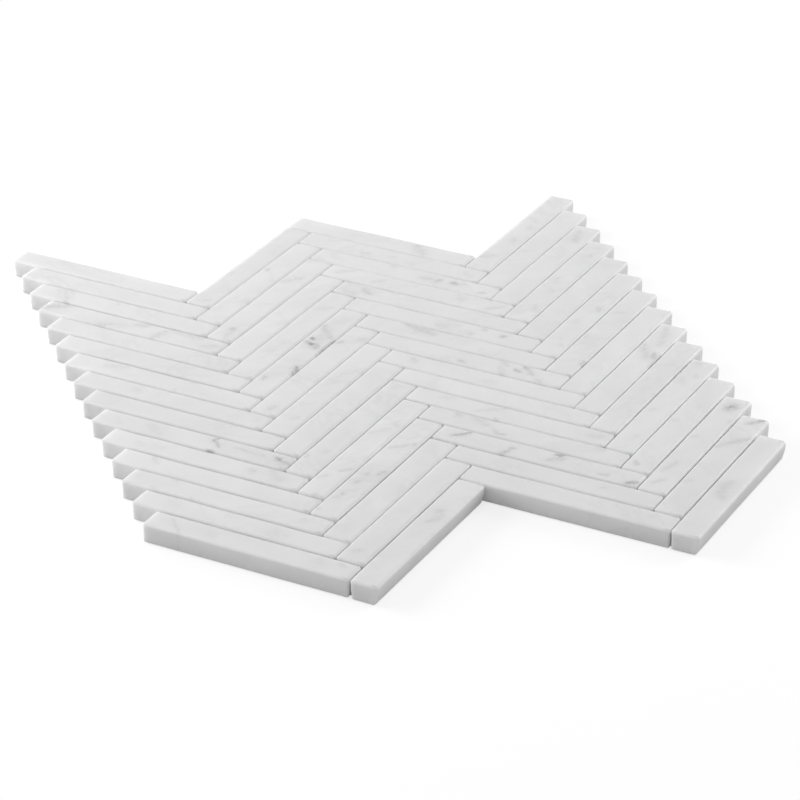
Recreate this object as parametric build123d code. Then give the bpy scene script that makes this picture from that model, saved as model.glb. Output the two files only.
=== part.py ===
from build123d import *
import os
from math import sqrt

# Sheet of white marble herringbone mosaic, lying on its back with its honed face up.
# +X runs across the columns of strips, +Y along the columns and +Z out of the face.
# The origin is the middle of the sheet, on the underside of the backing net.

# Driving dimensions, in millimetres
strip_length = 101.6
strip_width = 13.5
strip_thickness = 9.1
joint_width = 0.8  # open joint between neighbouring strips, left for the grout
course_count = 15  # zigzag courses, one above the other
arris_radius = 0.9  # rounded edge all round the face of a strip
corner_bevel = 0.8  # cut off each upright corner of a strip, measured along its sides
net_thickness = 0.4
net_inset = 4.0  # from the line of the side notches, and of the end vees, to the cut edge of the net

# Each side of the sheet has two columns of strips: one falls to the right, the next one rises.
side_names = ["left", "right"]
column_count = 2 * len(side_names)
lay_angles = [-45, 45]  # degrees from +X, for a falling and a rising strip

# Pitch of the herringbone: a strip and its joint, across the strip and along it
cross_pitch = strip_width + joint_width
long_pitch = strip_length + joint_width
column_step = long_pitch / sqrt(2)
course_step = cross_pitch * sqrt(2)


def marble_strip():
    """One sawn strip on the XY plane, long way along X, with a rounded face arris and bevelled corners."""
    bar = Box(strip_length, strip_width, strip_thickness, align=(Align.CENTER, Align.CENTER, Align.MIN))
    face_edges = bar.faces().sort_by(Axis.Z)[-1].edges()
    outline = chamfer(Rectangle(strip_length, strip_width).vertices(), corner_bevel)
    return fillet(face_edges, arris_radius) & extrude(outline, strip_thickness)


def strip_place(column, course):
    """Where a strip lies on the net: rising strips sit half a course below their falling neighbours."""
    rising = column % 2
    x = (column - (column_count - 1) / 2) * column_step
    y = ((course_count - 1) / 2 - course + 1 / 4 - rising / 2) * course_step
    return Pos(x, y, net_thickness) * Rot(0, 0, lay_angles[rising])


def backing_net():
    """Net under the strips: straight down both sides, a zigzag at both ends, cut back all round."""
    half_width = (column_count * column_step - course_step / 2) / 2
    half_height = (course_count * course_step + column_step) / 2
    zigzag_x = [k * column_step - half_width for k in range(column_count + 1)]
    lower_end = [(x, (1 - k % 2) * column_step - half_height) for k, x in enumerate(zigzag_x)]
    upper_end = [(x, half_height - k % 2 * column_step) for k, x in enumerate(zigzag_x)]
    zigzag = Polygon(*lower_end, *reversed(upper_end), align=None)
    outline = zigzag & Rectangle(2 * half_width, 2 * half_height)
    return extrude(offset(outline, -net_inset, kind=Kind.INTERSECTION), net_thickness)


os.makedirs("parts", exist_ok=True)
strip = marble_strip()
for side, side_name in enumerate(side_names):
    for course in range(course_count):
        pair = [strip_place(2 * side + rising, course) * strip for rising in range(2)]
        export_step(Compound(children=pair), f"parts/{side_name}_strip_pair_{course + 1:02d}.step")
export_step(backing_net(), "parts/backing_net.step")
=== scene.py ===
# %% [markdown]
# # A herringbone sheet of white marble
# The real object is a mosaic sheet: sixty sawn strips of white marble with a grey figure, laid in zigzag
# courses and glued to a glass fibre net. The CAD model already holds every strip and the net at real size,
# so this lesson loads it as a fixed frame and adds what the eye looks for: eased edges, small differences
# from strip to strip, the figure of the stone, the weave of the net and soft studio light.

# %% Load the frame and keep its box
import bpy
import numpy as np
from mathutils import Matrix, Vector


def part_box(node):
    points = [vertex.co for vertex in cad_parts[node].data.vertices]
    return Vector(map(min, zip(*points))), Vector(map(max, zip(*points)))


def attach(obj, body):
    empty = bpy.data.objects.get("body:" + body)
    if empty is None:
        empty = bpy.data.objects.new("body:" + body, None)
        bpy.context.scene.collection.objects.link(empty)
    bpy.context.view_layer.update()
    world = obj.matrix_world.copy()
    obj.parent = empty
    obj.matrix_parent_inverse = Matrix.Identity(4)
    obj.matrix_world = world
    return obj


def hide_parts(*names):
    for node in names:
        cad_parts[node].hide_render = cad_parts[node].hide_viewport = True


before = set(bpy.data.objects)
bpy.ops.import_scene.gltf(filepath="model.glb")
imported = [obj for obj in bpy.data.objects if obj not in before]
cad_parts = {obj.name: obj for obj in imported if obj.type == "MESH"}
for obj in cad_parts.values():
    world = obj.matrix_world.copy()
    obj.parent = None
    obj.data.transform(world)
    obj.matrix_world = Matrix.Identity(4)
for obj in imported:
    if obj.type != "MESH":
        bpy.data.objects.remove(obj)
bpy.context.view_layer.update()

mm = 0.001

# %% [markdown]
# ## The beat of the pattern
# A herringbone has only two measures: the step from one zigzag course to the next, and the step from one
# column of strips to the next. They could be typed in again, but the frame knows them, so they are read
# from the boxes of neighbouring pairs of strips. Turned by 45 degrees, the two steps become the length and
# the width of a strip with its joint.

# %% Measure the herringbone
column_count = 4
course_count = sum(name.startswith("left_strip_pair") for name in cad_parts)
pair_low, pair_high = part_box("left_strip_pair_01")
course_step = pair_low.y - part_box("left_strip_pair_02")[0].y
column_step = (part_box("right_strip_pair_01")[0].x - pair_low.x) / 2
net_top = pair_low.z
joint_width = 0.8 * mm
cell_length = column_step * np.sqrt(2)
cell_width = course_step / np.sqrt(2)
strip_size = np.array([cell_length - joint_width, cell_width - joint_width, pair_high.z - net_top])
print("strip in mm:", np.round(strip_size / mm, 2), "courses:", course_count)

# %% Lay out the strips
column, course = np.indices((column_count, course_count)).reshape(2, -1)
rising = column % 2
strip_count = column.size
strip_middle = np.stack([
    (column - (column_count - 1) / 2) * column_step,
    ((course_count - 1) / 2 - course + 1 / 4 - rising / 2) * course_step,
], axis=-1)
print("strips laid out:", strip_count)

# %% [markdown]
# ## One strip as a surface
# A sawn and tumbled strip is a bar with a rounded outline and a soft arris round its face. A cube with a
# Bevel modifier would give every strip the same radius everywhere. Here the bar is a formula instead: a
# grid of stations on the six sides of a box, where each station knows its place on an inner box (core) and
# how far the surface leans there (lean). Radii can then change along the strip and from strip to strip.

# %% Stations and sides of the bar
def stations(flat_steps):
    """Stations along one axis, end to end. Core runs from -1 to 1 over the flat stretch and stays there
    over the round one. Lean is 0 on the flat, and the tangent of an evenly growing angle on the round."""
    turn = np.tan(np.radians([0.1, 15, 30, 45]))  # the first leans just enough to belong to the round
    core = np.concatenate([-np.ones(turn.size), np.linspace(-1, 1, flat_steps + 1), np.ones(turn.size)])
    lean = np.concatenate([-turn[::-1], np.zeros(flat_steps + 1), turn])
    return core, lean


def side_quads(number, axis, end):
    """Quads over one side of a numbered grid: each joins four neighbours, wound to face outward."""
    side = np.take(number, end, axis)
    corners = [side[:-1, :-1], side[1:, :-1], side[1:, 1:], side[:-1, 1:]]
    if (end == 0) != (axis == 1):
        corners.reverse()
    return np.stack(corners, axis=-1).reshape(-1, 4)


def bar_grid(steps):
    """The skin of a grid of stations: core and lean of every point on it, and the quads that close it."""
    axes = [stations(count) for count in steps]
    counts = [core.size for core, lean in axes]
    index = np.indices(counts)
    last = np.reshape(counts, (3, 1, 1, 1)) - 1
    skin = ((index == 0) | (index == last)).any(axis=0)
    number = np.full(counts, -1)
    number[skin] = np.arange(skin.sum())
    core = np.stack([axes[axis][0][index[axis, skin]] for axis in range(3)], axis=-1)
    lean = np.stack([axes[axis][1][index[axis, skin]] for axis in range(3)], axis=-1)
    sides = [side_quads(number, axis, end) for axis in range(3) for end in (0, -1)]
    return core, lean, np.concatenate(sides)


strip_steps = (36, 4, 2)  # along, across and up the flat of a strip
bar_core, bar_lean, bar_quads = bar_grid(strip_steps)
print("points on a strip:", len(bar_core), "quads:", len(bar_quads))

# %% The rounded bar
def rounded_bar(core, lean, half, arris, corner):
    """A bar about the origin. In plan it is an inner box plus the corner radius along the plan normal. Up
    the arris, the plan reach falls back by the arris radius times one minus the cosine of the slope, and
    the height gains the arris radius times its sine."""
    length = np.linalg.norm(lean, axis=-1, keepdims=True)
    plan_length = np.linalg.norm(lean[..., :2], axis=-1, keepdims=True)
    plan_normal = lean[..., :2] / np.maximum(plan_length, 1e-9)
    reach = corner - arris + arris * plan_length / length
    plan = core[..., :2] * (half[..., :2] - corner) + plan_normal * reach
    height = core[..., 2:] * (half[..., 2:] - arris) + arris * lean[..., 2:] / length
    return np.concatenate([plan, height], axis=-1)


plain_arris = 0.9 * mm
plain_corner = 1.2 * mm
plain_bar = rounded_bar(bar_core, bar_lean, strip_size / 2, plain_arris, plain_corner)
print("plain bar in mm:", np.round(np.ptp(plain_bar, axis=0) / mm, 2))

# %% [markdown]
# ## No two strips alike
# The strips are cut, tumbled and set by hand, so sizes, edges and joints wander by a tenth or two of a
# millimetre. Random numbers with a fixed seed give each strip its own size, waves along its edges, a slight
# bow and a slight turn. Two things follow a rule instead: edges that face left are crisp and the others are
# worn round, and the courses at the far end lie closer together. All sixty strips are worked out together,
# as one array of strips by points.

# %% How the strips were laid
rng = np.random.default_rng(11)


def per_strip(low, high, width=1):
    """Seeded numbers between two limits, one row for each strip, shaped to spread over its points."""
    return rng.uniform(low, high, (strip_count, 1, width))


def turned(points, angle):
    """Points turned about the upright axis: x cos - y sin, x sin + y cos, one angle for each strip."""
    c, s = np.cos(angle)[:, None], np.sin(angle)[:, None]
    x, y, z = np.moveaxis(points, -1, 0)
    return np.stack([x * c - y * s, x * s + y * c, z + 0 * c], axis=-1)


turn_slack = 0.04  # degrees
shift_slack = 0.05 * mm
nearness = course / (course_count - 1)
looseness = 0.6 + np.where(column == 0, 1, nearness)[:, None]
lay_turn = np.radians(np.where(rising, 45, -45) + rng.uniform(-turn_slack, turn_slack, strip_count))
lay_shift = rng.uniform(-shift_slack, shift_slack, (strip_count, 2)) * looseness
print("largest shift in mm:", round(np.abs(lay_shift).max() / mm, 2))

# %% Shape the sixty strips
top_share = (bar_core[:, 2:] + 1) / 2
# How much fuller than plain a strip is on each side, in millimetres, by column, at the far and near course
fuller_far = np.array([-0.24, 0.19, 0.08, 0.03])[column]
fuller_near = np.array([-0.26, -0.20, -0.18, -0.11])[column]
fuller = (fuller_far + (fuller_near - fuller_far) * nearness)[:, None, None]
fuller[(column == 1) & (course >= 12) & (course <= 13)] += 0.14  # two strips that lie almost edge to edge
half_size = strip_size / 2 + fuller * [0, mm, 0] + per_strip(-0.04, 0.04, 3) * [2 * mm, mm, mm]
plan_lean = bar_lean * [1, 1, 0]
plan_lean = plan_lean / np.maximum(np.linalg.norm(plan_lean, axis=-1, keepdims=True), 1e-9)
# From 1 where an edge faces the far left to -1 where it faces the near right
leftness = turned(plan_lean[None], lay_turn) @ [[-np.sqrt(0.5)], [np.sqrt(0.5)], [0]]
face_arris = 1.15 - 0.45 * leftness - 0.2 * leftness ** 2
edge_wave = np.sin(bar_core[:, :1] * per_strip(4, 11) + per_strip(0, 6)) * per_strip(0.05, 0.2)
arris = (face_arris * top_share + per_strip(0.5, 0.8) * (1 - top_share)) * (1 + edge_wave) * mm
# The upright corner is never tighter than the arris, and the flat of a face ends inside every arris.
flat_inset = 1.8 * mm
corner = np.maximum(arris, (0.9 * top_share + per_strip(1.0, 1.6) * (1 - top_share)) * mm) + 0.02 * mm
corner = np.where(plan_lean.any(axis=-1, keepdims=True), corner, flat_inset)
strips = rounded_bar(bar_core, bar_lean, half_size, arris, corner)
print("strips, points:", strips.shape[:2])
print("arris in mm:", round(arris.min() / mm, 2), "to", round(arris.max() / mm, 2))

# %% Bow, undercut and seat the strips
undercut = np.abs(rng.normal(0, 0.2, (strip_count, 2))) * mm
loose_front = (rising == 1) & (course == course_count - 1)
undercut[loose_front, 0] = 1.3 * mm
side_undercut = np.where(strips[..., 1] < 0, undercut[:, :1], undercut[:, 1:])
strips[..., 1] *= 1 - side_undercut / half_size[..., 1] * (1 - top_share[:, 0]) ** 2
strips[..., 1] += (1 - bar_core[:, 0] ** 2) * per_strip(-0.04, 0.04)[..., 0] * mm
strips[..., 2] += half_size[..., 2] + net_top
laid = turned(strips, lay_turn)
laid[..., :2] += (strip_middle + lay_shift)[:, None]
print("undercut up to", round(undercut.max() / mm, 2), "mm")

# %% [markdown]
# ## Where the grey veins run
# The figure of this marble is short grey strokes that cross a strip at a slant. A noise texture alone would
# put them anywhere, so the strokes that show are noted strip by strip, and the shader draws each one as a
# soft line between two points. Every number is a share: along a strip and its joint from its left or lower
# end, across it from its far or left edge. Then come the width in millimetres and the darkness.

# %% Note the strokes
falling_left = {
    # Course 2, third stroke: a dark mark along the near joint, painted shade rather than figure.
    2: [(.13, .10, .22, .95, 2.6, .10), (.17, .12, .20, .35, 2.2, .10), (.195, .92, .225, 1.0, 1.8, .18),
        (.10, .10, .14, .50, 2.6, .07), (.44, .15, .45, .30, 2.2, .07)],
    3: [(.01, .72, .12, .05, 5.0, .20), (.34, .95, .40, .68, 3.4, .14), (.51, .35, .57, .18, 3.8, .13),
        (.64, .98, .67, .32, 4.2, .13), (.70, .16, .80, .22, 3.2, .10), (.79, .22, .86, .18, 3.0, .15),
        (.90, .68, .96, .42, 3.4, .11), (.42, .60, .47, .50, 3.6, .07)],
    6: [(.19, .45, .29, .22, 3.7, .09), (.59, .84, .605, .98, 1.5, .16), (.63, .10, .65, .15, 1.7, .11)],
    7: [(.29, .42, .32, .52, 3.6, .07)],
    9: [(.605, .10, .587, .27, 1.4, .32), (.587, .27, .61, .36, 1.5, .38), (.61, .36, .645, .62, 1.3, .28),
        (.61, .98, .64, 1.02, 1.8, .36), (.92, .40, .94, .48, 2.8, .38), (.95, .50, 1.0, .62, 3.2, .20),
        (.71, .42, .86, .48, 2.0, .11), (.26, .25, .34, .75, 3.6, .06)],
    10: [(.82, .20, .89, .58, 4.2, .09), (.72, .40, .75, .50, 2.5, .10), (.16, .55, .20, .60, 3.2, .07)],
    11: [(.16, .12, .19, .45, 2.7, .10)],
    12: [(.19, .08, .22, .15, 2.4, .10), (.15, .85, .17, .96, 2.0, .09), (.35, .88, .36, 1.0, 2.0, .12),
         (.865, .45, .88, .55, 3.4, .07)],
    13: [(.665, .30, .70, .62, 3.8, .06), (.72, .50, .74, .55, 2.4, .06)],
    14: [(.10, .30, .18, .92, 1.9, .10), (.91, .28, .94, .32, 2.7, .08), (.30, .45, .32, .60, 4.0, .05),
         (.81, .30, .83, .50, 4.0, .05)],
}
rising_left = {
    0: [(.045, .35, .075, .65, 2.4, .07), (.37, .10, .40, .25, 2.6, .05)],
    1: [(.635, .22, .655, .17, 2.5, .13), (.54, .80, .62, .42, 2.7, .05), (.26, .95, .31, .75, 2.7, .06)],
    2: [(.00, .62, .11, .60, 2.4, .09), (.115, .56, .135, .52, 3.4, .20), (.70, .10, .745, .42, 3.4, .11),
        (.745, .42, .775, .60, 3.2, .12)],
    4: [(.80, .35, .84, .75, 3.6, .06)],
    5: [(.165, .30, .185, .26, 2.4, .17), (.27, 1.0, .345, .86, 2.4, .34), (.56, .75, .60, .20, 3.6, .28),
        (.578, .44, .59, .36, 2.4, .52), (.632, .34, .65, .26, 2.4, .46), (.50, .99, .67, .98, 1.8, .36),
        (.68, .75, .78, .12, 4.0, .15), (.60, .55, .70, .40, 6.0, .10)],
    6: [(.795, .16, .82, .24, 2.4, .17), (.86, .70, .89, .80, 3.6, .14), (.045, .50, .09, .62, 2.8, .09)],
    7: [(.155, .50, .185, .65, 2.8, .07)],
    9: [(.155, .14, .175, .06, 2.4, .13), (.92, .40, .94, .38, 2.4, .08), (.22, .50, .25, .60, 3.2, .06)],
    10: [(.155, .10, .19, .32, 2.2, .10), (.25, .55, .29, .80, 2.2, .12), (.63, .20, .70, .60, 2.4, .07),
         (.745, .70, .77, .60, 2.8, .10), (.00, .65, .02, .60, 2.4, .18)],
    11: [(.05, .16, .06, .12, 1.8, .14), (.16, .20, .20, .35, 2.4, .09), (.205, .38, .225, .34, 1.6, .16),
         (.325, .33, .355, .42, 2.2, .14), (.42, .42, .435, .44, 2.0, .14), (.445, .75, .485, .82, 1.8, .24),
         (.68, .20, .745, .65, 2.8, .10), (.75, .78, .765, .80, 2.2, .14)],
    13: [(.08, .30, .10, .42, 3.2, .09)],
    14: [(.59, .45, .62, .60, 3.4, .12), (.62, .62, .67, .58, 3.8, .12), (.68, .46, .71, .54, 2.6, .13)],
}
falling_right = {
    0: [(.68, .22, .76, .82, 5.0, .13)],
    1: [(.34, .68, .37, .72, 2.7, .09), (.49, .58, .51, .50, 2.7, .08), (.90, .48, .94, .68, 3.4, .06),
        (.61, .70, .63, .75, 3.0, .05)],
    2: [(.60, .55, .645, .50, 3.2, .14), (.68, .62, .692, .38, 2.2, .17), (.755, .46, .775, .44, 2.8, .28),
        (.785, .42, .82, .28, 2.2, .08), (.925, .70, .945, .66, 2.2, .22), (.41, .18, .43, .28, 2.2, .08)],
    3: [(.06, .62, .13, .18, 2.8, .10), (.27, .72, .31, .40, 2.8, .09), (.70, .18, .75, .60, 2.4, .07),
        (.90, .72, .95, .34, 3.0, .11)],
    4: [(.13, .38, .18, .56, 3.0, .16), (.06, .78, .12, .76, 3.7, .10)],
    5: [(.705, .20, .72, .24, 2.2, .15), (.81, .44, .825, .36, 2.6, .24), (.48, .58, .52, .68, 3.4, .08),
        (.66, .68, .67, .76, 2.4, .10)],
    6: [(.21, .06, .27, .14, 2.8, .20), (.26, .16, .38, .36, 4.6, .17)],
    7: [(.65, .08, .69, .30, 2.6, .16), (.67, .50, .71, .98, 2.2, .11), (.74, .42, .77, .50, 2.4, .24),
        (.765, .12, .80, .30, 2.0, .32), (.80, .30, .84, .54, 2.0, .20), (.47, .74, .50, .80, 2.2, .22),
        (.87, .80, .89, .90, 2.2, .15)],
    8: [(.13, .30, .155, .46, 2.6, .13), (.53, .66, .57, .60, 3.2, .06), (.78, .36, .82, .28, 2.4, .06)],
    10: [(.35, .72, .46, .10, 2.4, .10), (.45, .88, .47, 1.0, 1.9, .15), (.15, .35, .20, .25, 2.8, .07),
         (.90, .48, .95, .42, 5.0, .10)],
    11: [(.15, .18, .17, .25, 2.4, .12), (.24, .22, .33, .45, 3.2, .10), (.36, .55, .385, .78, 2.2, .12),
         (.38, .82, .42, .74, 1.6, .18), (.84, .10, .87, .20, 2.5, .11)],
    12: [(.08, .58, .14, .15, 2.2, .31), (.345, .98, .365, .70, 2.2, .26), (.36, .52, .38, .44, 2.4, .20),
         (.57, .20, .60, .13, 2.2, .52), (.55, .62, .61, .30, 3.1, .17), (.81, .72, .84, .66, 2.0, .17),
         (.95, .86, .98, .72, 2.0, .50), (.96, .68, .985, .60, 1.8, .30)],
    13: [(.72, .50, .74, .42, 2.4, .07)],
    14: [(.875, .30, .885, .45, 3.4, .06)],
}
rising_right = {
    0: [(.14, .20, .19, .55, 3.2, .08), (.37, .62, .41, .52, 3.4, .10), (.55, .68, .58, .58, 3.1, .07),
        (.65, .60, .69, .20, 2.2, .07)],
    2: [(.81, .55, .92, .35, 4.0, .13)],
    3: [(.13, .80, .18, .62, 2.9, .09), (.35, .70, .37, .60, 2.6, .07), (.47, .44, .51, .36, 3.4, .06),
        (.81, .64, .83, .56, 2.2, .09)],
    5: [(.12, .76, .14, .64, 2.6, .09), (.19, .50, .205, .46, 2.2, .07), (.37, .38, .40, .46, 2.8, .06),
        (.54, .74, .585, .58, 2.8, .12)],
    6: [(.13, .96, .165, .90, 2.2, .27), (.40, .20, .43, .14, 2.7, .07), (.70, .30, .74, .60, 3.4, .07)],
    8: [(.54, .99, .67, .97, 1.6, .26), (.62, .82, .67, .74, 2.6, .27), (.62, .60, .74, .12, 3.8, .13),
        (.80, .60, .95, .32, 4.2, .11), (.76, .60, .79, .70, 3.1, .09)],
    10: [(.15, .58, .17, .64, 2.6, .06), (.42, .28, .44, .34, 2.8, .08), (.73, .45, .78, .20, 3.6, .06),
         (.82, .62, .835, .58, 2.6, .08), (.945, .30, .96, .40, 2.6, .09)],
    11: [(.06, .42, .09, .25, 2.0, .16), (.50, .15, .53, .30, 3.0, .05), (.68, .58, .70, .52, 2.2, .07)],
    12: [(.875, .46, .92, .54, 5.4, .24), (.885, .46, .91, .54, 3.4, .38), (.08, .28, .13, .55, 2.4, .11),
         (.20, .28, .30, .42, 2.6, .09), (.55, .20, .57, .30, 2.5, .08), (.74, .86, .77, .80, 2.4, .11)],
    13: [(.65, .08, .73, .55, 2.5, .12), (.70, .35, .78, .75, 2.5, .14), (.73, .55, .80, .92, 2.4, .13),
         (.92, .42, .98, .75, 2.6, .20), (.97, .66, .995, .78, 2.2, .42), (.29, .10, .32, .30, 2.7, .07)],
    14: [(.36, .65, .45, .35, 4.4, .10), (.44, .35, .53, .45, 4.2, .10)],
}
strokes_by_column = [falling_left, rising_left, falling_right, rising_right]
most_strokes = max(len(strokes) for noted in strokes_by_column for strokes in noted.values())
print("strokes on the busiest strip:", most_strokes)

# %% Turn the strokes into two points each
# The first point of a stroke carries its width as a third number, the second one its darkness.
stroke_from = np.zeros((strip_count, most_strokes, 3))
stroke_to = np.zeros((strip_count, most_strokes, 3))
for strip, noted in enumerate(strokes_by_column[c].get(i, []) for c, i in zip(column, course)):
    if noted:
        along_0, across_0, along_1, across_1, width, darkness = np.transpose(noted)
        stroke_from[strip, :len(noted)] = np.stack(
            [(along_0 - 0.5) * cell_length, (0.5 - across_0) * cell_width, width * mm], axis=-1)
        stroke_to[strip, :len(noted)] = np.stack(
            [(along_1 - 0.5) * cell_length, (0.5 - across_1) * cell_width, darkness], axis=-1)
print("strokes noted:", int((stroke_to[..., 2] > 0).sum()))

# %% [markdown]
# ## From arrays to meshes
# Two strips share a node of the frame, so two strips make one piece here, and it replaces that node. The
# shader needs to know things that geometry alone can't tell it: the place on the strip, the place in the
# block that the strip was sawn from, the strokes, the tone of the strip and where the face was honed.
# They travel with the mesh as attributes.

# %% Mesh helpers
def surface(name, points, quads):
    """A smooth mesh object at the origin, from arrays of points and quads."""
    mesh = bpy.data.meshes.new(name)
    mesh.from_pydata(points, [], quads.tolist())
    mesh.shade_smooth()
    piece = bpy.data.objects.new(name, mesh)
    bpy.context.scene.collection.objects.link(piece)
    return piece


def note(piece, name, values):
    """Stores one number or one vector for every point of a piece."""
    kind, key = ("FLOAT_VECTOR", "vector") if values.shape[-1] == 3 else ("FLOAT", "value")
    attribute = piece.data.attributes.new(name, kind, "POINT")
    attribute.data.foreach_set(key, np.ascontiguousarray(values, np.float32).ravel())


print("mesh helpers:", surface.__name__, note.__name__)

# %% Build the pairs of strips
block_turn = rng.uniform(0.3, 1.0, strip_count) * rng.choice([-1, 1], strip_count)
block_place = rng.uniform(-2, 2, (strip_count, 1, 3))
block_points = turned(strips, block_turn) + block_place
tone = rng.uniform(-1, 1, (strip_count, 1))
honed = np.clip(bar_lean[:, 2:] / np.linalg.norm(bar_lean, axis=-1, keepdims=True), 0, 1)
point_count = len(bar_core)
pair_quads = np.concatenate([bar_quads, bar_quads + point_count])
strip_pieces = []
for left_column, side_name in enumerate(["left", "right"]):
    for row in range(course_count):
        pair = np.flatnonzero((column // 2 == left_column) & (course == row))
        piece = surface(f"honed_strips_{side_name}_{row + 1:02d}", laid[pair].reshape(-1, 3), pair_quads)
        note(piece, "strip_point", strips[pair].reshape(-1, 3))
        note(piece, "block_point", block_points[pair].reshape(-1, 3))
        note(piece, "tone", np.repeat(tone[pair], point_count, axis=0))
        note(piece, "honed", np.tile(honed, (2, 1)))
        for k in range(most_strokes):
            note(piece, f"stroke_{k}_from", np.repeat(stroke_from[pair, k], point_count, axis=0))
            note(piece, f"stroke_{k}_to", np.repeat(stroke_to[pair, k], point_count, axis=0))
        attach(piece, "root")
        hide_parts(f"{side_name}_strip_pair_{row + 1:02d}")
        strip_pieces.append(piece)
print("pairs of strips:", len(strip_pieces), "triangles each:", 2 * len(pair_quads))

# %% [markdown]
# ## The marble
# Honed marble is almost white, a little see-through, and smooth without a mirror shine. An image texture
# would repeat, so the stone is made of layers of noise read at the strip's place in its block, which gives
# every strip its own piece of stone. Over broad clouds and faint drifts lie the noted strokes. A stroke is
# used many times, so it is a node group: it takes a point and the two ends and puts out a mask.

# %% Node helpers
def add_node(tree, kind, inputs=None, **settings):
    """Adds a node. Settings are its own options, and each input takes a value or another node's socket."""
    made = tree.nodes.new(kind)
    for name, value in settings.items():
        setattr(made, name, value)
    for name, value in (inputs or {}).items():
        if isinstance(value, bpy.types.NodeSocket):
            tree.links.new(value, made.inputs[name])
        else:
            made.inputs[name].default_value = value
    return made


def math(tree, operation, *values):
    """One step of arithmetic on numbers or sockets."""
    return add_node(tree, "ShaderNodeMath", dict(enumerate(values)), operation=operation).outputs[0]


def vector_math(tree, operation, *values):
    """One step of arithmetic on vectors. The result is a number for a dot product or a length."""
    made = add_node(tree, "ShaderNodeVectorMath", dict(enumerate(values)), operation=operation)
    return made.outputs["Value" if operation in ("DOT_PRODUCT", "LENGTH") else "Vector"]


def scaled(tree, vector, factor):
    """A vector times a number."""
    return add_node(tree, "ShaderNodeVectorMath", {0: vector, "Scale": factor}, operation="SCALE").outputs[0]


def remap(tree, value, low, high, to_low, to_high, smooth=False):
    """A value carried from one range to another, and held at its ends."""
    kind = "SMOOTHSTEP" if smooth else "LINEAR"
    names = ["Value", "From Min", "From Max", "To Min", "To Max"]
    inputs = dict(zip(names, [value, low, high, to_low, to_high]))
    return add_node(tree, "ShaderNodeMapRange", inputs, interpolation_type=kind).outputs["Result"]


def noise(tree, vector, scale, detail, roughness=0.5):
    """Soft noise over a place. The scale is in waves for each metre."""
    inputs = {"Vector": vector, "Scale": scale, "Detail": detail, "Roughness": roughness}
    return add_node(tree, "ShaderNodeTexNoise", inputs)


def attribute(tree, name, output="Vector"):
    """What the mesh noted for the point being shaded."""
    return add_node(tree, "ShaderNodeAttribute", attribute_name=name).outputs[output]


def new_material(name):
    """An empty node material, its tree and its output node."""
    material = bpy.data.materials.new(name)
    material.use_nodes = True
    material.node_tree.nodes.clear()
    return material, material.node_tree, add_node(material.node_tree, "ShaderNodeOutputMaterial")


node_helpers = [add_node, math, vector_math, scaled, remap, noise, attribute, new_material]
print("node helpers:", [helper.__name__ for helper in node_helpers])

# %% The stroke group
def stroke_group():
    """A soft stroke: the distance from a point to the line between two ends, against a width that tapers
    to both ends, gives a core that falls from 1 to nothing at the width and a halo twice as wide. Core and
    halo are mixed and multiplied by the darkness."""
    tree = bpy.data.node_groups.new("vein stroke", "ShaderNodeTree")
    for name in ("Point", "From", "To"):
        tree.interface.new_socket(name, in_out="INPUT", socket_type="NodeSocketVector")
    tree.interface.new_socket("Mask", in_out="OUTPUT", socket_type="NodeSocketFloat")
    ends = add_node(tree, "NodeGroupInput").outputs
    width = add_node(tree, "ShaderNodeSeparateXYZ", {0: ends["From"]}).outputs["Z"]
    darkness = add_node(tree, "ShaderNodeSeparateXYZ", {0: ends["To"]}).outputs["Z"]
    in_plan = (1, 1, 0)
    reach = vector_math(tree, "MULTIPLY", vector_math(tree, "SUBTRACT", ends["To"], ends["From"]), in_plan)
    offset = vector_math(tree, "SUBTRACT", ends["Point"], ends["From"])
    offset = vector_math(tree, "MULTIPLY", offset, in_plan)
    along = math(tree, "DIVIDE", vector_math(tree, "DOT_PRODUCT", offset, reach),
                 vector_math(tree, "DOT_PRODUCT", reach, reach))
    share = remap(tree, along, 0, 1, 0, 1)
    gap = vector_math(tree, "LENGTH", vector_math(tree, "SUBTRACT", offset, scaled(tree, reach, share)))
    end_taper = remap(tree, math(tree, "ABSOLUTE", math(tree, "SUBTRACT", share, 0.5)), 0.2, 0.5, 1, 0.7)
    edge = math(tree, "MULTIPLY", width, end_taper)
    core = remap(tree, gap, 0, edge, 0.7, 0, smooth=True)
    halo = remap(tree, gap, 0, math(tree, "MULTIPLY", edge, 2.2), 0.3, 0, smooth=True)
    mask = math(tree, "MULTIPLY", math(tree, "ADD", core, halo), darkness)
    add_node(tree, "NodeGroupOutput", {"Mask": mask})
    return tree


vein_stroke = stroke_group()
print("stroke group nodes:", len(vein_stroke.nodes))

# %% The marble material
stone_white = (0.85, 0.85, 0.85, 1)
vein_grey = (0.10, 0.10, 0.10, 1)
plain_shade = 0.06  # share of grey in the plainest stone
tone_reach = 0.016
vein_wander = 3 * mm
drift_wander = 6 * mm
light_depth = 4 * mm  # how far light travels inside the stone
grain_height = 0.05 * mm


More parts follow.
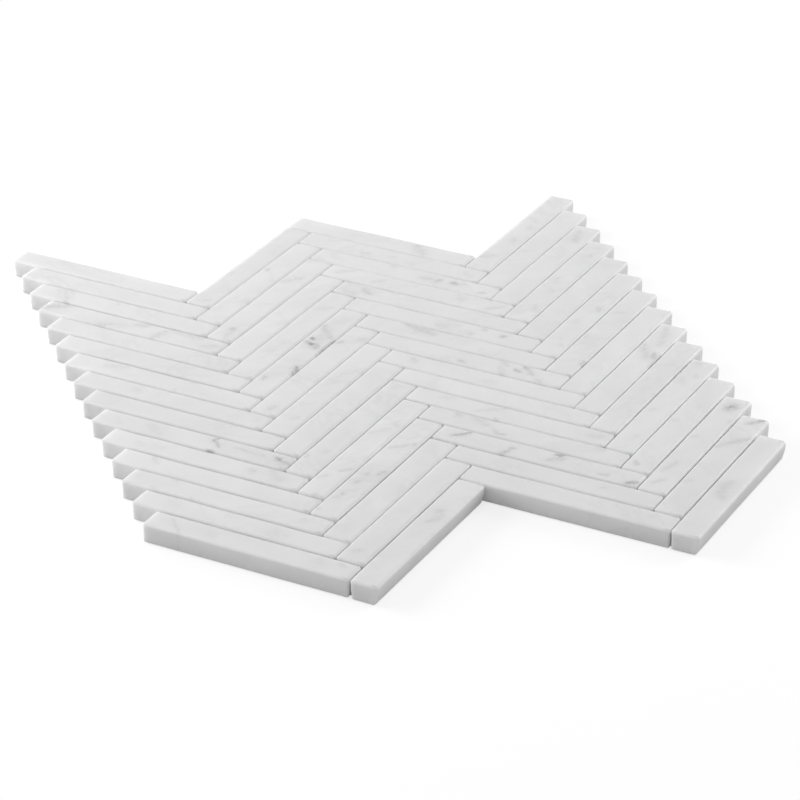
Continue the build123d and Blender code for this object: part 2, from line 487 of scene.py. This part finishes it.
def marble():
    """White stone darkened by strokes, faint drifts, clouds and the tone of the strip."""
    material, tree, output = new_material("honed_marble")
    block = attribute(tree, "block_point")
    bend = vector_math(tree, "SUBTRACT", noise(tree, block, 150, 3).outputs["Color"], (0.5, 0.5, 0.5))
    wandering = vector_math(tree, "ADD", attribute(tree, "strip_point"), scaled(tree, bend, vein_wander))
    strokes = 0.0
    for k in range(most_strokes):
        ends = {"Point": wandering, "From": attribute(tree, f"stroke_{k}_from"),
                "To": attribute(tree, f"stroke_{k}_to")}
        drawn = add_node(tree, "ShaderNodeGroup", ends, node_tree=vein_stroke)
        strokes = math(tree, "MAXIMUM", strokes, drawn.outputs["Mask"])
    crumble = remap(tree, noise(tree, block, 420, 4, 0.6).outputs[0], 0.35, 0.65, 0.6, 1.4)
    veins = math(tree, "MULTIPLY", strokes, crumble)

    drifted = vector_math(tree, "ADD", block, scaled(tree, bend, drift_wander))
    drawn_out = vector_math(tree, "MULTIPLY", drifted, (0.4, 1, 0.7))
    cloud = remap(tree, noise(tree, drawn_out, 60, 5, 0.55).outputs[0], 0.3, 0.7, -0.035, 0.035)
    drift_noise = noise(tree, drawn_out, 130, 3, 0.5).outputs[0]
    drift = remap(tree, math(tree, "ABSOLUTE", math(tree, "SUBTRACT", drift_noise, 0.5)), 0, 0.07, 0.05, 0)
    drift_place = remap(tree, noise(tree, block, 34, 2).outputs[0], 0.45, 0.65, 0, 1, smooth=True)
    drifts = math(tree, "MULTIPLY", drift, drift_place)
    grain_noise = noise(tree, block, 1900, 2, 0.6).outputs[0]
    grain = remap(tree, grain_noise, 0.25, 0.75, -0.012, 0.012)
    strip_tone = math(tree, "MULTIPLY", attribute(tree, "tone", "Fac"), tone_reach)
    shade = math(tree, "ADD", veins, plain_shade)
    for layer in (cloud, drifts, grain, strip_tone):
        shade = math(tree, "ADD", shade, layer)
    stone_mix = {"Factor": shade, "A": stone_white, "B": vein_grey}
    colour = add_node(tree, "ShaderNodeMix", stone_mix, data_type="RGBA")

    honed_here = attribute(tree, "honed", "Fac")
    roughness = math(tree, "ADD", remap(tree, honed_here, 0.2, 0.9, 0.6, 0.36),
                     remap(tree, grain_noise, 0.3, 0.7, -0.05, 0.05))
    relief = math(tree, "MULTIPLY", grain_noise, remap(tree, honed_here, 0.2, 0.9, 1, 0.25))
    bump = add_node(tree, "ShaderNodeBump", {"Strength": 0.35, "Distance": grain_height, "Height": relief})
    stone = add_node(tree, "ShaderNodeBsdfPrincipled", {
        "Base Color": colour.outputs["Result"], "Roughness": roughness, "Normal": bump.outputs[0],
        "IOR": 1.49, "Subsurface Weight": 1.0, "Subsurface Radius": (1, 1, 1),
        "Subsurface Scale": light_depth})
    tree.links.new(stone.outputs[0], output.inputs["Surface"])
    return material


marble_material = marble()
for piece in strip_pieces:
    piece.data.materials.append(marble_material)
print("marble nodes:", len(marble_material.node_tree.nodes))

# %% [markdown]
# ## The net on the back
# A mosaic sheet is held together by an open net of coated glass yarn, glued to the back of the strips. The
# CAD net is a plain sheet of that outline. A texture with holes would do from afar, but the net is seen
# close in the joints and on the back, so each yarn is a flat profile carried along a path that goes over
# one crossing yarn and under the next.

# %% Outline of the net
net_low, net_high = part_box("backing_net")
first_peak = -(column_count * column_step - course_step / 2) / 2


def zigzag(x, peak):
    """Distance along X to the nearest of a row of peaks that are two column steps apart."""
    return np.abs((x - peak + column_step) % (2 * column_step) - column_step)


def runs_along_x(y):
    """Stretches of the net along X at one height: all of it in the middle, near the peaks at an end."""
    reach = min(net_high.y - y, y - net_low.y, column_step)
    if reach <= 0:
        return []
    if reach == column_step:
        return [(net_low.x, net_high.x)]
    start = first_peak if y > 0 else first_peak + column_step
    peaks = start + 2 * column_step * np.arange(column_count // 2 + 1)
    runs = [(max(peak - reach, net_low.x), min(peak + reach, net_high.x)) for peak in peaks]
    return [run for run in runs if run[1] > run[0]]


print("net in mm:", [round(side / mm, 1) for side in net_high - net_low])

# %% Yarns of the net
yarn_step = 5 * mm
yarn_width = 1.1 * mm
yarn_thickness = 0.2 * mm
weave_depth = ((net_high.z - net_low.z) - yarn_thickness) / 2
yarn_sides = 6


def yarn(start, end, place, along_x):
    """One yarn: an ellipse carried along a straight run, lifted and lowered by a cosine at each crossing."""
    count = max(int(np.ceil((end - start) / (yarn_step / 2))), 1) + 1
    run = np.linspace(start, end, count)[:, None]
    angle = np.linspace(0, 2 * np.pi, yarn_sides, endpoint=False)[None]
    phase = np.round(place / yarn_step) + (0 if along_x else 1)
    lift = weave_depth * np.cos(np.pi * (run / yarn_step + phase))
    along = run + 0 * angle
    across = place + yarn_width / 2 * np.cos(angle) + 0 * run
    height = (net_low.z + net_high.z) / 2 + lift + yarn_thickness / 2 * np.sin(angle)
    layers = (along, across, height) if along_x else (across, along, height)
    return np.stack(layers, axis=-1)


def tube_quads(rings, sides, flip):
    """Quads round a tube of rings, with the last side joined to the first, and two quads over each end."""
    ring, point = np.indices((rings - 1, sides))
    near, far = ring * sides + point, ring * sides + (point + 1) % sides
    wall = np.stack([near, far, far + sides, near + sides], axis=-1).reshape(-1, 4)
    end_cap = np.array([[0, 1, 2, 3], [0, 3, 4, 5]])
    quads = np.concatenate([wall, end_cap[:, ::-1], end_cap + (rings - 1) * sides])
    return quads[:, ::-1] if flip else quads


def yarn_places(low, high):
    """Places of the yarns across the net: whole steps from the middle that lie inside its edges."""
    return yarn_step * np.arange(np.ceil((low + yarn_width) / yarn_step), (high - yarn_width) / yarn_step)


print("yarns along X:", len(yarn_places(net_low.y, net_high.y)))
print("weave in mm: yarn lifted by", round(weave_depth / mm, 2))

# %% Weave the net
yarns = []
for y in yarn_places(net_low.y, net_high.y):
    yarns += [(yarn(start, end, y, True), True) for start, end in runs_along_x(y)]
for x in yarn_places(net_low.x, net_high.x):
    start = net_low.y + zigzag(x, first_peak + column_step)
    yarns.append((yarn(start, net_high.y - zigzag(x, first_peak), x, False), False))
net_points, net_quads, net_along, counted = [], [], [], 0
for points, along_x in yarns:
    rings = len(points)
    net_quads.append(tube_quads(rings, yarn_sides, along_x) + counted)
    net_points.append(points.reshape(-1, 3))
    net_along.append((points[..., 0] if along_x else points[..., 1]).reshape(-1, 1))
    counted += rings * yarn_sides
net = surface("woven_net", np.concatenate(net_points), np.concatenate(net_quads))
note(net, "yarn_length", np.concatenate(net_along))
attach(net, "root")
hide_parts("backing_net")
print("yarns:", len(yarns), "net triangles:", 2 * sum(map(len, net_quads)))

# %% The yarn material
coat_pale = (0.80, 0.80, 0.77, 1)
coat_dull = (0.62, 0.62, 0.58, 1)
twist_step = 0.9 * mm
twist_height = 0.08 * mm


def glass_yarn():
    """Off-white coated yarn: fine filaments as a twist along its length, and a satin coat."""
    material, tree, output = new_material("glass_yarn")
    place = add_node(tree, "ShaderNodeTexCoord").outputs["Object"]
    length = attribute(tree, "yarn_length", "Fac")
    twist = math(tree, "SINE", math(tree, "MULTIPLY", length, 2 * np.pi / twist_step))
    mottle = noise(tree, place, 400, 3).outputs[0]
    shade = math(tree, "ADD", remap(tree, twist, -1, 1, 0, 0.25), remap(tree, mottle, 0.3, 0.7, 0, 0.4))
    coat_mix = {"Factor": shade, "A": coat_pale, "B": coat_dull}
    colour = add_node(tree, "ShaderNodeMix", coat_mix, data_type="RGBA")
    bump = add_node(tree, "ShaderNodeBump", {"Strength": 0.4, "Distance": twist_height, "Height": twist})
    coat = add_node(tree, "ShaderNodeBsdfPrincipled", {
        "Base Color": colour.outputs["Result"], "Normal": bump.outputs[0], "Roughness": 0.5})
    tree.links.new(coat.outputs[0], output.inputs["Surface"])
    return material


yarn_material = glass_yarn()
net.data.materials.append(yarn_material)
print("yarn nodes:", len(yarn_material.node_tree.nodes))

# %% [markdown]
# ## Studio
# A catalogue picture of stone is lit from all round: a bright tent, two softboxes on the left that leave a
# light lip on every left edge, and a broad one on the right that opens up the sawn sides. More light would
# only bleach the stone, so the white of the floor comes from a share of glow that only the camera sees.
# Near the sheet the rest of the floor's white is real light, so it still darkens in the shadow, and further
# out the glow takes over.

# %% Floor
def camera_rays(tree):
    """1 for rays that show the background to the eye, directly, in a reflection or through glass."""
    rays = add_node(tree, "ShaderNodeLightPath").outputs
    seen = math(tree, "MAXIMUM", rays["Is Camera Ray"], rays["Is Glossy Ray"])
    return math(tree, "MAXIMUM", seen, rays["Is Transmission Ray"])


glow_from = 0.28  # metres from the middle of the sheet
glow_full = 0.6
near_glow = 0.68  # strength of the glow near the sheet
near_white = 0.4  # white of the floor there, as the eye sees it
bounce_white = 0.65  # white of the floor that lights the stone from below


def white_floor():
    """A pale matt floor. What the eye sees of it is part glow, part light, and all glow from afar."""
    material, tree, output = new_material("white_floor")
    place = add_node(tree, "ShaderNodeTexCoord").outputs["Object"]
    afar = remap(tree, vector_math(tree, "LENGTH", place), glow_from, glow_full, 0, 1, smooth=True)
    seen = camera_rays(tree)
    seen_white = remap(tree, afar, 0, 1, near_white, 0)
    white = remap(tree, seen, 0, 1, bounce_white, seen_white)
    matt = add_node(tree, "ShaderNodeBsdfDiffuse", {"Color": white})
    glow_share = math(tree, "MULTIPLY", seen, remap(tree, afar, 0, 1, near_glow, 1))
    glow = add_node(tree, "ShaderNodeEmission", {"Strength": glow_share})
    both = add_node(tree, "ShaderNodeAddShader", {0: matt.outputs[0], 1: glow.outputs[0]})
    tree.links.new(both.outputs[0], output.inputs["Surface"])
    return material


floor_reach = 6.0
floor_corners = np.array([[-1, -1, 0], [1, -1, 0], [1, 1, 0], [-1, 1, 0]]) * floor_reach
floor = surface("white_floor", floor_corners, np.array([[0, 1, 2, 3]]))
floor.data.materials.append(white_floor())
print("floor in m:", 2 * floor_reach)

# %% Tent and softboxes
world = bpy.data.worlds.new("studio")
bpy.context.scene.world = world
world.use_nodes = True
tent = world.node_tree
tent.nodes.clear()
tent_level = 0.54
tent_light = add_node(tent, "ShaderNodeBackground", {
    "Color": (1, 1, 1, 1), "Strength": remap(tent, camera_rays(tent), 0, 1, tent_level, 1)})
add_node(tent, "ShaderNodeOutputWorld", {"Surface": tent_light.outputs[0]})


def softbox(name, place, size, watts):
    """A round soft lamp that looks at the middle of the sheet."""
    light = bpy.data.lights.new(name, "AREA")
    light.shape = "DISK"
    light.size = size
    light.energy = watts
    lamp = bpy.data.objects.new(name, light)
    lamp.location = place
    lamp.rotation_euler = lamp.location.to_track_quat("Z", "Y").to_euler()
    bpy.context.scene.collection.objects.link(lamp)
    print(name, watts, "W")


softbox("softbox_left_far", (-0.80, 0.66, 0.44), 0.6, 5.4)
softbox("softbox_left_near", (-1.0, 0.30, 0.44), 0.6, 2.7)
softbox("softbox_right", (1.0, 0.20, 0.40), 0.9, 4.4)

# %% [markdown]
# ## Camera
# The picture was taken from the front, a little to the left and from well above, with a long lens: the
# columns hardly narrow towards the back. The camera is set by the angles of its view, the distance to a
# point on the sheet and a slight roll, which is how a photographer would describe it.

# %% Place the camera
view_azimuth = np.radians(-17.415)
view_elevation = np.radians(27.301)
view_roll = np.radians(0.308)
view_distance = 1526.0 * mm
view_target = Vector((-7.48 * mm, -26.08 * mm, 9.5 * mm))
back = Vector((np.sin(view_azimuth) * np.cos(view_elevation),
               -np.cos(view_azimuth) * np.cos(view_elevation),
               np.sin(view_elevation)))
level_right = back.cross(Vector((0, 0, -1))).normalized()
level_up = back.cross(level_right)
right = np.cos(view_roll) * level_right + np.sin(view_roll) * level_up
up = back.cross(right)
camera_data = bpy.data.cameras.new("camera")
camera_data.lens = 147.6
camera_data.sensor_width = 36
camera = bpy.data.objects.new("camera", camera_data)
camera.matrix_world = Matrix.Translation(view_target + back * view_distance) @ Matrix(
    (right, up, back)).transposed().to_4x4()
bpy.context.scene.collection.objects.link(camera)
bpy.context.scene.camera = camera
bpy.context.scene.view_settings.view_transform = "Standard"
print("camera at", [round(value, 3) for value in camera.matrix_world.translation])
